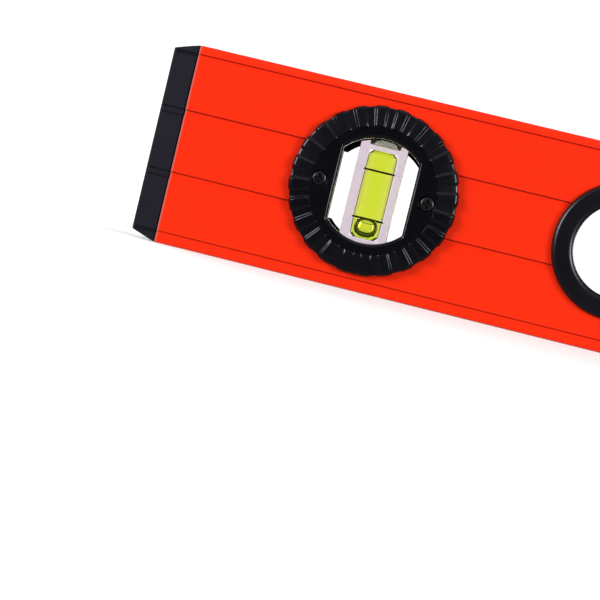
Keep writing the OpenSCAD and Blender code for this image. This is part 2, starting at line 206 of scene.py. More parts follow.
class Shader(Graph):
    """One material's nodes, ending in a Principled surface."""

    def __init__(self, name: str) -> None:
        """Starts an empty material of that name.

        Args:
            name: The material's name.
        """
        self.material = bpy.data.materials.new(name)
        self.material.use_nodes = True
        super().__init__(self.material.node_tree)

    def position(self, stretch: Triple = (1.0, 1.0, 1.0)) -> Signal:
        """The point on the object, in metres, which stretch makes denser along each axis."""
        place = self.node("ShaderNodeTexCoord", output="Object")
        return self.node(
            "ShaderNodeVectorMath", {"operation": "MULTIPLY"}, {0: place, 1: stretch}
        )

    def axis(self, name: str) -> Signal:
        """One coordinate of the point on the object, in metres."""
        return self.node("ShaderNodeSeparateXYZ", None, {0: self.position()}, name)

    def noise(
        self, scale: float, detail: float = 2.0, stretch: Triple = (1.0, 1.0, 1.0)
    ) -> Signal:
        """Smooth noise from 0 to 1, scale features to the metre."""
        values = {"Vector": self.position(stretch), "Scale": scale, "Detail": detail}
        return self.node("ShaderNodeTexNoise", None, values)

    def blend(self, share: Signal | float, first: Any, second: Any) -> Signal:
        """Mixes two colours."""
        settings = {"data_type": "RGBA"}
        return self.node("ShaderNodeMix", settings, {0: share, 6: first, 7: second}, 2)

    def bump(self, height: Signal, depth: float, strength: float = 1.0) -> Signal:
        """A normal raised by a height from 0 to 1, which is depth metres deep."""
        values = {"Height": height, "Distance": depth, "Strength": strength}
        return self.node("ShaderNodeBump", None, values)

    def surface(self, **values: Any) -> bpy.types.Material:
        """Ends the material in a Principled surface.

        Args:
            values: Its inputs, with spaces written as underscores.

        Returns:
            The finished material.
        """
        named = {name.replace("_", " "): value for name, value in values.items()}
        self.end("ShaderNodeOutputMaterial", self.node("ShaderNodeBsdfPrincipled", None, named))
        return self.material


# ---- finishes ------------------------------------------------------------------------------


@dataclass(frozen=True)
class PowderCoat:
    """Orange-red powder coat over an aluminium extrusion whose base is milled bare."""

    paint: Colour = (0.97, 0.025, 0.0005)
    deep: Colour = (0.86, 0.020, 0.0004)
    metal: Colour = (0.60, 0.60, 0.65)
    streak: Colour = (0.44, 0.44, 0.48)
    # Painted shadow colour, laid along each groove's upper edge where the lip above shades it.
    edge: Colour = (0.42, 0.008, 0.0003)
    cut_end: Colour = (0.50, 0.16, 0.14)
    milled_below: float = 0.00012
    groove_edges: tuple[float, ...] = (0.00355, 0.02155, 0.04035, 0.05715)
    edge_half: float = 0.00032
    beam_end: float = 0.2924
    bare_end: float = 0.0003

    def lines(self, height: Signal) -> Signal:
        """Share of the painted shadow along each groove's upper edge, where the lip above shades
        it.
        """
        return sum(
            abs(height - edge).step(self.edge_half, self.edge_half * 0.3)
            for edge in self.groove_edges
        )

    def make(self) -> bpy.types.Material:
        """Builds the material.

        Returns:
            The finished material.
        """
        shader = Shader("powder_coat")
        height = shader.axis("Z")
        bare_from = self.beam_end - self.bare_end
        end = abs(shader.axis("X")).step(bare_from - self.bare_end, bare_from)
        bare = height.step(self.milled_below * 2, self.milled_below)
        peel = shader.noise(1500.0, 3.0)
        drift = shader.noise(14.0, 2.0)
        mill = shader.noise(1.0, 3.0, (60.0, 4200.0, 60.0))
        coat = shader.blend(drift * 0.35 + peel * 0.15, self.paint, self.deep)
        # Painted shadow: darkens the coat under each groove's upper edge.
        coat = shader.blend(self.lines(height) * 0.8, coat, self.edge)
        coat = shader.blend(end * 0.8, coat, self.cut_end)
        metal = shader.blend(mill, self.metal, self.streak)
        return shader.surface(
            Base_Color=shader.blend(bare, coat, metal),
            Metallic=bare,
            Roughness=0.40 + peel * 0.10 + bare * (mill * 0.10 - 0.08),
            Specular_IOR_Level=0.16,
            Normal=shader.bump(peel * (1.0 - bare) + mill * bare, 0.00002, 0.35),
        )


@dataclass(frozen=True)
class MouldedPlastic:
    """Moulded plastic with a fine spark-eroded grain and a slow change of gloss."""

    name: str
    colour: Colour
    roughness: float = 0.45
    grain: float = 1800.0
    grain_depth: float = 0.00002
    mottle: float = 0.35
    gloss: float = 0.35
    sheen: Colour = (0.88, 0.87, 1.0)

    def make(self) -> bpy.types.Material:
        """Builds the material.

        Returns:
            The finished material.
        """
        shader = Shader(self.name)
        grain = shader.noise(self.grain, 2.0)
        drift = shader.noise(70.0, 3.0)
        lighter = tuple(1.7 * part + 0.002 for part in self.colour)
        return shader.surface(
            Base_Color=shader.blend(drift * self.mottle + grain * 0.2, self.colour, lighter),
            Roughness=self.roughness + grain * 0.12 + drift * 0.10 - 0.10,
            Specular_IOR_Level=self.gloss,
            Specular_Tint=self.sheen,
            Normal=shader.bump(grain, self.grain_depth, 0.5),
        )


@dataclass(frozen=True)
class Bore:
    """Where a vial's bore runs, in metres, as seen from the level's face.

    It lies at a place across one axis, on both sides of the level's middle, and runs along the
    other axis, as far as its reach each way from its own middle.
    """

    across: str
    place: float
    along: str
    middle: float
    reach: float
    soft: float = 0.0002

    def offset(self, shader: Shader) -> Signal:
        """Distance from the bore's axis."""
        return abs(abs(shader.axis(self.across)) - self.place)

    def inside(self, shader: Shader) -> Signal:
        """From 1 along the bore to 0 past its ends."""
        past = abs(shader.axis(self.along) - self.middle)
        return past.step(self.reach + self.soft, self.reach - self.soft)


@dataclass(frozen=True)
class Band:
    """A tint that is full at one distance from a bore's axis and gone at another.

    A bounded one also ends where the bore does.
    """

    tint: Colour
    full: float
    none: float
    bounded: bool = False


@dataclass(frozen=True)
class ClearPlastic:
    """Polished clear plastic. Where it lies inside another, its index is the ratio of the two."""

    name: str
    tint: Colour
    index: float = 1.49
    polish: float = 0.015
    haze: float = 0.03
    # Painted glow: light that the plastic gives off of its own, though it is no lamp.
    glow: Colour = (0.0, 0.0, 0.0)
    bore: Bore | None = None
    bands: tuple[Band, ...] = ()

    def make(self) -> bpy.types.Material:
        """Builds the material.

        Returns:
            The finished material.
        """
        shader = Shader(self.name)
        haze = shader.noise(160.0, 3.0)
        tint = shader.blend(haze, self.tint, tuple(part * 0.97 for part in self.tint))
        for band in self.bands:
            share = self.bore.offset(shader).step(band.none, band.full)
            if band.bounded:
                share = share * self.bore.inside(shader)
            tint = shader.blend(share, tint, band.tint)
        return shader.surface(
            Base_Color=tint,
            Roughness=self.polish + haze * self.haze,
            IOR=self.index,
            Transmission_Weight=1.0,
            # Painted glow: the emission lights the part from within, though it is no lamp.
            Emission_Color=self.glow,
            Emission_Strength=1.0,
        )


@dataclass(frozen=True)
class DarkSteel:
    """Black-oxide steel, a little brighter where a driver has rubbed it."""

    colour: Colour = (0.004, 0.004, 0.005)
    rubbed: Colour = (0.06, 0.06, 0.07)

    def make(self) -> bpy.types.Material:
        """Builds the material.

        Returns:
            The finished material.
        """
        shader = Shader("dark_steel")
        speck = shader.noise(2600.0, 3.0)
        worn = speck.step(0.56, 0.70)
        return shader.surface(
            Base_Color=shader.blend(worn * 0.7, self.colour, self.rubbed),
            Metallic=worn * 0.5,
            Roughness=0.32 - worn * 0.06,
            Specular_IOR_Level=0.45,
            Normal=shader.bump(speck, 0.000006, 0.4),
        )


@dataclass(frozen=True)
class Print:
    """Flat ink or a printed ground, with slightly uneven cover."""

    name: str
    colour: Colour
    second: Colour
    roughness: float = 0.55
    gloss: float = 0.15

    def make(self) -> bpy.types.Material:
        """Builds the material.

        Returns:
            The finished material.
        """
        shader = Shader(self.name)
        cover = shader.noise(900.0, 2.0)
        return shader.surface(
            Base_Color=shader.blend(cover.step(0.30, 0.75), self.second, self.colour),
            Roughness=self.roughness + cover * 0.10,
            Specular_IOR_Level=self.gloss,
            Normal=shader.bump(cover, 0.00001, 0.2),
        )


BORES = {
    "plumb": Bore("X", 0.2326, "Z", 0.0291, 0.01315),
    "centre": Bore("Z", 0.0485, "X", -0.0010, 0.02095),
}


@dataclass(frozen=True)
class VialPlastics:
    """The clear block of one kind of vial, and the liquid in it.

    A block looks paler where its bore leaves less plastic to look through, and its sawn sides
    are dull. A liquid looks deeper across the middle of its bore.
    """

    kind: str
    bore: Bore
    block_tint: Colour = (0.65, 0.55, 0.63)
    liquid_tint: Colour = (0.76, 0.84, 0.12)
    # Painted glow that brightens the liquid from within, though it is no lamp.
    liquid_glow: Colour = (0.010, 0.022, 0.001)
    thin: Band = Band((0.84, 0.78, 0.83), 0.0040, 0.0045, True)
    sawn: Band = Band((0.34, 0.31, 0.35), 0.00706, 0.00692)
    deep: Band = Band((0.68, 0.82, 0.045), 0.0010, 0.0044)

    def block(self) -> bpy.types.Material:
        """Builds the block's material."""
        name, bands = f"{self.kind}_acrylic", (self.thin, self.sawn)
        return ClearPlastic(name, self.block_tint, bore=self.bore, bands=bands).make()

    def liquid(self) -> bpy.types.Material:
        """Builds the liquid's material."""
        return ClearPlastic(
            f"{self.kind}_liquid",
            self.liquid_tint,
            index=0.95,
            polish=0.0,
            haze=0.01,
            glow=self.liquid_glow,
            bore=self.bore,
            bands=(self.deep,),
        ).make()


class Finishes:
    """One material of each finish on the level."""

    def __init__(self) -> None:
        """Makes them all."""
        self.blocks: dict[str, bpy.types.Material] = {}
        self.liquids: dict[str, bpy.types.Material] = {}
        self.paint = PowderCoat().make()
        self.cap = MouldedPlastic(
            "cap_plastic", (0.0060, 0.0052, 0.0100), 0.52, 1300.0, gloss=0.20
        ).make()
        self.grip = MouldedPlastic(
            "grip_plastic", (0.0022, 0.0021, 0.0036), 0.30, 1500.0, gloss=0.50
        ).make()
        self.dial = MouldedPlastic(
            "dial_plastic", (0.0016, 0.0016, 0.0028), 0.20, 900.0, 0.000004, gloss=0.38
        ).make()
        self.carrier = MouldedPlastic(
            "carrier_plastic", (0.0020, 0.0020, 0.0024), 0.60, 900.0, gloss=0.0
        ).make()
        self.rubber = MouldedPlastic("rubber", (0.010, 0.010, 0.010), 0.75, 2200.0).make()
        for kind, bore in BORES.items():
            plastics = VialPlastics(kind, bore)
            self.blocks[kind] = plastics.block()
            self.liquids[kind] = plastics.liquid()
        self.lens = ClearPlastic("clear_lens", (0.985, 0.988, 0.990)).make()
        self.plug = ClearPlastic("vial_plug", (0.40, 0.48, 0.36), 0.90, 0.16, 0.10).make()
        self.bubble = ClearPlastic("bubble_gas", (0.99, 0.99, 0.97), 0.78, 0.0, 0.005).make()
        self.steel = DarkSteel().make()
        self.line = Print("line_ink", (0.004, 0.004, 0.004), (0.012, 0.012, 0.012)).make()
        self.ground = Print("scale_ground", (0.008, 0.008, 0.022), (0.014, 0.013, 0.035)).make()
        self.marks = Print("scale_marks", (0.82, 0.82, 0.86), (0.60, 0.60, 0.66)).make()


def dress(node: str, finish: bpy.types.Material) -> None:
    """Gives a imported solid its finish.

    Args:
        node: The solid's name.
        finish: Its material.
    """
    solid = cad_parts[node]
    if not solid.material_slots:
        solid.data.materials.append(finish)
    for holder in solid.material_slots:
        holder.material = finish
    LOG.info("dressed %s in %s", node, finish.name)


# ---- shapes --------------------------------------------------------------------------------


def lathe_ring(radius: float, height: float, steps: int, centre: Point) -> list[Vector]:
    """Points of a level circle round a centre.

    Args:
        radius: Its radius.
        height: Its height.
        steps: How many points it has.
        centre: Its centre in X and Y.

    Returns:
        The points, counter-clockwise.
    """
    turns = (2 * math.pi * step / steps for step in range(steps))
    x, y = centre
    return [Vector((x + radius * math.cos(t), y + radius * math.sin(t), height)) for t in turns]


def arc(centre: Point, radius: float, start: float, end: float, steps: int) -> list[Point]:
    """Points of an arc in a flat outline, from one angle to another in degrees."""
    turns = [math.radians(start + (end - start) * step / steps) for step in range(steps + 1)]
    return [(centre[0] + radius * math.cos(t), centre[1] + radius * math.sin(t)) for t in turns]


def cross(reach: float, half: float) -> list[Point]:
    """The outline of a plus sign whose arms reach that far and are twice half wide.

    Args:
        reach: From its middle to an arm's end.
        half: Half an arm's width.

    Returns:
        Its twelve corners.
    """
    corner = [(reach, -half), (reach, half), (half, half)]
    turns = ((1, 0), (0, 1), (-1, 0), (0, -1))
    return [(x * c - y * s, x * s + y * c) for c, s in turns for x, y in corner]


class Build:
    """A mesh in the making, in millimetres, in its sub-assembly's own frame."""

    def __init__(self) -> None:
        """Starts with nothing."""
        self.mesh = bmesh.new()

    def loft(
        self, rings: Sequence[Sequence[Vector]], closed: bool = False, capped: bool = False
    ) -> None:
        """Joins rings of the same number of points with quads.

        Args:
            rings: The rings, in order.
            closed: Whether the last ring joins the first.
            capped: Whether the first and last rings are filled.
        """
        made = [[self.mesh.verts.new(point) for point in ring] for ring in rings]
        pairs = list(zip(made, made[1:]))
        if closed:
            pairs.append((made[-1], made[0]))
        for low, high in pairs:
            for index in range(len(low)):
                after = (index + 1) % len(low)
                self.mesh.faces.new((low[index], low[after], high[after], high[index]))
        if capped:
            self.mesh.faces.new(made[0])
            self.mesh.faces.new(made[-1])

    def lathe(
        self, outline: Iterable[Point], steps: int = 96, centre: Point = (0.0, 0.0)
    ) -> None:
        """Turns an outline of radius and height round an upright axis, and fills its ends."""
        rings = [lathe_ring(max(wide, 0.001), up, steps, centre) for wide, up in outline]
        self.loft(rings, capped=True)

    def box(self, size: Triple, bevel: float, centre: Triple = (0.0, 0.0, 0.0)) -> None:
        """Adds a box with rounded edges.

        Args:
            size: Its size along each axis.
            bevel: How far its edges are cut back.
            centre: Its middle.
        """
        lump = bmesh.ops.create_cube(self.mesh, size=1.0)["verts"]
        bmesh.ops.scale(self.mesh, vec=size, verts=lump)
        bmesh.ops.translate(self.mesh, vec=centre, verts=lump)
        edges = list({edge for vert in lump for edge in vert.link_edges})
        bmesh.ops.bevel(
            self.mesh, geom=edges, offset=bevel, segments=3, profile=0.5, affect="EDGES"
        )

    def prism(self, outline: Sequence[Point], low: float, high: float) -> None:
        """Raises an outline in X and Y between two heights."""
        rings = [[Vector((x, y, level)) for x, y in outline] for level in (low, high)]
        self.loft(rings, capped=True)

    def weld(self) -> None:
        """Merges points that fall together, with the faces that they would flatten."""
        bmesh.ops.remove_doubles(self.mesh, verts=self.mesh.verts, dist=0.004)
        bmesh.ops.dissolve_degenerate(self.mesh, dist=0.0005, edges=self.mesh.edges)

    def piece(
        self, name: str, place: Place, sharp: float = 38.0, crowned: bool = False
    ) -> bpy.types.Object:
        """Ends the mesh as an object in the level's frame.

        Args:
            name: The piece's name.
            place: Where its own frame lies, in metres.
            sharp: Edges that turn by more than this many degrees stay crisp.
            crowned: Whether flat faces are shaded as faintly domed, as a cast block's are.

        Returns:
            The object.
        """
        bmesh.ops.recalc_face_normals(self.mesh, faces=self.mesh.faces)
        self.mesh.transform(place @ Matrix.Scale(MM, 4))
        if place.determinant() < 0:
            bmesh.ops.reverse_faces(self.mesh, faces=self.mesh.faces)
        data = bpy.data.meshes.new(name)
        self.mesh.to_mesh(data)
        self.mesh.free()
        data.shade_smooth()
        data.set_sharp_from_angle(angle=math.radians(sharp))
        made = bpy.data.objects.new(name, data)
        bpy.context.scene.collection.objects.link(made)
        if not crowned:
            keep_flat(made)
        return made


def keep_flat(piece: bpy.types.Object) -> None:
    """Shades a piece's large faces flat, so that only its rounded edges turn the light."""
    tool = piece.modifiers.new("flat_faces", "WEIGHTED_NORMAL")
    tool.keep_sharp = True


def cut(target: bpy.types.Object, cutter: bpy.types.Object) -> None:
    """Takes the cutter's shape out of the target, and removes the cutter.

    Args:
        target: The piece that keeps the rest of its shape.
        cutter: The piece that is taken away.
    """
    for body in (target, cutter):
        body.modifiers.clear()
    tool = target.modifiers.new("cut", "BOOLEAN")
    tool.operation = "DIFFERENCE"
    tool.solver = "EXACT"
    tool.object = cutter
    bpy.context.view_layer.update()
    graph = bpy.context.evaluated_depsgraph_get()
    solved = bpy.data.meshes.new_from_object(target.evaluated_get(graph))
    target.modifiers.clear()
    target.data = solved
    solved.shade_smooth()
    solved.set_sharp_from_angle(angle=math.radians(38.0))
    keep_flat(target)
    bpy.data.objects.remove(cutter)


def settle(
    piece: bpy.types.Object,
    finish: bpy.types.Material,
    body: str,
    nodes: Sequence[str] = (),
) -> bpy.types.Object:
    """Finishes a piece and joins it to the frame.

    Args:
        piece: The piece, in its place.
        finish: Its material.
        body: The body that it rides on.
        nodes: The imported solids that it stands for.

    Returns:
        The piece.
    """
    piece.data.materials.clear()
    piece.data.materials.append(finish)
    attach(piece, body)
    if nodes:
        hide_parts(*nodes)
    LOG.info("built %s on %s", piece.name, body)
    return piece


# ---- beam and its ends ---------------------------------------------------------------------


@dataclass
class Beam:
    """The extrusion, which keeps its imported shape."""

    finishes: Finishes

    def build(self) -> None:
        """Paints the beam."""
        dress("beam", self.finishes.paint)


@dataclass
class EndCap:
    """A moulded cap that carries the beam's section on and tapers to its end."""

    finishes: Finishes
    side: Side
    length: float = 7.6
    taper_height: float = 2.5
    taper_depth: float = 0.9
    top_radius: float = 2.2
    base_radius: float = 0.5
    groove_depth: float = 0.45
    groove_end: float = 0.86
    grooves: tuple[Point, ...] = ((-26.8, 0.4), (-9.4, 1.0), (9.4, 1.0), (26.8, 0.4))
    end_round: float = 0.3
    seam_share: float = 0.055
    seam_depth: float = 0.80

    def half_outline(self, groove: float) -> list[Point]:
        """The front half of the section, from the base to the top, as points (Y, Z).

        Args:
            groove: How deep the grooves' edges are cut.

        Returns:
            The points, of which each groove has ten.
        """
        half, top = 12.5, 30.0
        centre = (self.base_radius - half, self.base_radius - top)
        points = [(-0.01, -top), *arc(centre, self.base_radius, 270, 180, 4)]
        for level, wide in self.grooves:
            slope, floor = 0.16, 0.45 * groove
            lower = [(0.0, -wide - slope), (groove, -wide), (groove, -wide + slope)]
            lower += [(floor, -wide + 2 * slope), (floor, -0.01)]
            upper = [(deep, -off) for deep, off in reversed(lower)]
            points += [(deep - half, level + off) for deep, off in lower + upper]
        centre = (self.top_radius - half, top - self.top_radius)
        return [*points, *arc(centre, self.top_radius, 180, 90, 8), (-0.01, top)]

    def ring(self, along: float, share: float, groove: float, shrink: float) -> list[Vector]:
        """One section of the head.

        Args:
            along: Its X.
            share: How far the taper has gone, from 0 to 1.
            groove: How deep its grooves are.
            shrink: How far its edges are drawn in.

        Returns:
            The section's points.
        """
        loss = self.taper_depth * share + shrink
        tall = 30.0 - self.taper_height * share - shrink
        front = []
        for across, up in self.half_outline(groove):
            sunk = across + loss * min(1.0, -across / 10.0)
            front.append((sunk, min(max(up, -tall), tall)))
        outline = front + [(-across, up) for across, up in reversed(front)]
        return [Vector((along, across, up + 30.0)) for across, up in outline]

    def build(self) -> None:
        """Builds the cap's head as a loft from the seam to the rounded end."""
        name = f"end_cap_{self.side.word}"
        outer = 300.0
        seam = outer - self.length
        build = Build()
        rings = []
        for share in (0.003, self.seam_share):
            rings.append(self.ring(seam + self.length * share, share, 0.0, self.seam_depth))
        ends = (self.seam_share + 0.002, 0.3, 0.6, self.groove_end, self.groove_end + 0.04, 0.95)
        for share in ends:
            groove = self.groove_depth if share <= self.groove_end else 0.0
            rings.append(self.ring(seam + self.length * share, share, groove, 0.0))
        for turn in (20, 45, 70, 90):
            back = self.end_round * (1 - math.sin(math.radians(turn)))
            shrink = self.end_round * (1 - math.cos(math.radians(turn)))
            share = 1 - back / self.length
            rings.append(self.ring(outer - back, share, 0.0, shrink))
        build.loft(rings, capped=True)
        build.weld()
        turned = Matrix.Rotation(math.pi if self.side is Side.LEFT else 0.0, 4, "Z")
        piece = build.piece(name + "_head", turned, 30.0)
        settle(piece, self.finishes.cap, ROOT, [name])


# ---- hand grips ----------------------------------------------------------------------------


@dataclass
class HandGrip:
    """One moulded shell of a hand hole: flange, crowned rim and a sleeve with fine steps."""

    finishes: Finishes
    side: Side
    face: Face
    half_straight: float = 46.0
    opening: float = 13.75
    flange: float = 20.2
    height: float = 14.5
    steps: int = 40

    def outline(self) -> list[Point]:
        """The shell's section as points (offset from the track, height from the middle).

        Returns:
            The points, in order round the section.
        """
        low, top = self.opening, self.height
        points: list[Point] = [(low + 0.25, 0.14)]
        for shelf in (1.6, 4.4, 7.2):
            points += [
                (low + 0.25, shelf),
                (low + 0.50, shelf + 0.15),
                (low + 0.50, shelf + 0.75),
                (low + 0.25, shelf + 0.90),
            ]
        points += [(low + 0.22, 9.8), (low + 0.02, 10.3), (low, 12.6)]
        points += arc((low + 1.7, top - 1.7), 1.7, 180, 90, 7)
        points += [(low + 3.2, top - 0.02), (self.flange - 2.4, top - 0.10)]
        points += arc((self.flange - 1.5, top - 1.65), 1.5, 85, 0, 7)
        points += [(self.flange, 12.75), (self.flange - 0.15, 12.53), (17.9, 12.52)]
        points += [(17.9, 9.5), (16.0, 9.5), (16.0, 0.14)]
        return points

    def track(self) -> list[tuple[Vector, Vector]]:
        """Points round the hole's middle line, each with its outward direction.

        Returns:
            Pairs of a point and its direction.
        """
        stops = []
        for sign, start in ((1, -90.0), (-1, 90.0)):
            middle = Vector((sign * self.half_straight, 0.0, 0.0))
            for step in range(self.steps + 1):
                turn = math.radians(start + 180.0 * step / self.steps)
                stops.append((middle, Vector((math.cos(turn), math.sin(turn), 0.0))))
        return stops

    def place(self) -> Place:
        """The shell's frame: its Z points out of the face.

        Returns:
            The frame, in metres.
        """
        low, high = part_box(f"grip_{self.side.word}_{self.face.word}")
        middle = (low + high) / 2
        centre = Matrix.Translation((middle.x, 0.0, middle.z))
        stand = Matrix.Rotation(math.pi / 2, 4, "X")
        if self.face is Face.FRONT:
            return centre @ stand
        return centre @ Matrix.Rotation(math.pi, 4, "Z") @ stand

    def build(self) -> None:
        """Sweeps the section round the hole."""
        name = f"grip_{self.side.word}_{self.face.word}"
        outline = self.outline()
        rings = []
        for middle, outward in self.track():
            rings.append([middle + outward * off + Vector((0, 0, up)) for off, up in outline])
        build = Build()
        build.loft(rings, closed=True)
        piece = build.piece(name + "_shell", self.place(), 32.0)
        settle(piece, self.finishes.grip, ROOT, [name])


# ---- vials ---------------------------------------------------------------------------------


@dataclass(frozen=True)
class Column:
    """A liquid column: widest in its middle, with a chamfer at each end."""

    length: float
    radius: float
    drop: float = 0.15
    chamfer: float = 1.2

    def outline(self) -> list[Point]:
        """Radius and height from the lower end to the upper one.

        Returns:
            The outline.
        """
        half = self.length / 2
        points: list[Point] = [(0.0, -half), (self.radius - self.drop - self.chamfer, -half)]
        for step in range(-8, 9):
            share = step / 8
            points.append((self.radius - self.drop * share**2, share * (half - self.chamfer)))
        points += [(self.radius - self.drop - self.chamfer, half), (0.0, half)]
        return points


@dataclass
class RoundBubble:
    """A bubble that nearly fills its bore, a little squarer than a ball."""

    radius: float = 3.58
    half: float = 3.08
    power: float = 2.35
    steps: int = 28

    def outline(self) -> list[Point]:
        """Radius and height from its lower end to its upper one.

        Returns:
            The outline.
        """
        points = []
        for step in range(self.steps + 1):
            turn = math.pi * (step / self.steps - 0.5)
            wide = abs(math.cos(turn)) ** (2 / self.power) * self.radius
            tall = math.copysign(abs(math.sin(turn)) ** (2 / self.power), turn) * self.half
            points.append((wide, tall))
        return points


class ScalePrinter:
    """Prints ticks and numbers on a dial's flat ring, as seen from its lens side."""

    def __init__(self, level: float, rise: float) -> None:
        """Sets the height of the printed face, and how far the ink stands off it.

        Args:
            level: Height of the printed face.
            rise: How far the ink stands off it.
        """
        self.level = level
        self.rise = rise
        self.build = Build()

    def point(self, radius: float, angle: float, lift: float) -> Vector:
        """A point of the face at a clock-face angle in degrees, counter-clockwise from the right.

        Args:
            radius: Its distance from the middle.
            angle: Its angle.
            lift: How far it stands off the face.

        Returns:
            The point.
        """
        turn = math.radians(angle)
        across, up = radius * math.cos(turn), radius * math.sin(turn)
        return Vector((-across, up, self.level - lift))

    def bar(self, ends: Sequence[tuple[float, float]], width: float) -> None:
        """Adds a straight bar between two points, each a radius and an angle.

        Args:
            ends: The two points.
            width: The bar's width.
        """
        first, last = (self.point(radius, angle, 0.0) for radius, angle in ends)
        along = (last - first).normalized()
        side = Vector((-along.y, along.x, 0.0)) * width / 2
        rings = []
        for lift in (-0.015, self.rise):
            up = Vector((0.0, 0.0, -lift))
            near, far = side + up, up - side
            rings.append([first + near, last + near, last + far, first + far])
        self.build.loft(rings, capped=True)

    def tick(self, angle: float, inner: float, outer: float, width: float = 0.16) -> None:
        """Adds one tick along a radius."""
        self.bar([(inner, angle), (outer, angle)], width)

    def number(self, text: str, radius: float, angle: float, size: float) -> None:
        """Adds a number whose top points to the dial's middle.

        Args:
            text: The number.
            radius: How far from the middle it stands.
            angle: Its angle, as in point.
            size: Its height.
        """
        curve = bpy.data.curves.new("number", "FONT")
        curve.body = text
        curve.size = size
        curve.align_x = "CENTER"
        curve.align_y = "CENTER"
        curve.extrude = (self.rise + 0.015) / 2
        curve.offset = size * 0.012
        holder = bpy.data.objects.new("number", curve)
        bpy.context.scene.collection.objects.link(holder)
        bpy.context.view_layer.update()
        graph = bpy.context.evaluated_depsgraph_get()
        flat = bpy.data.meshes.new_from_object(holder.evaluated_get(graph))
        toward = Matrix.Rotation(math.radians(angle), 4, "Z")
        out = Matrix.Translation((radius, 0.0, 0.0))
        seen = toward @ out @ Matrix.Rotation(math.pi / 2, 4, "Z")
        flip = Matrix.Scale(-1.0, 4, (1.0, 0.0, 0.0)) @ Matrix.Scale(-1.0, 4, (0.0, 0.0, 1.0))
        lift = Matrix.Translation((0.0, 0.0, self.level - (self.rise - 0.015) / 2))
        flat.transform(lift @ flip @ seen)
        self.build.mesh.from_mesh(flat)
        bpy.data.objects.remove(holder)
        bpy.data.meshes.remove(flat)

    def triangle(self, corners: Sequence[tuple[float, float]], width: float = 0.22) -> None:
        """Adds an outlined triangle from three corners, each a radius and an angle."""
        for first, last in zip(corners, [*corners[1:], corners[0]]):
            self.bar([first, last], width)


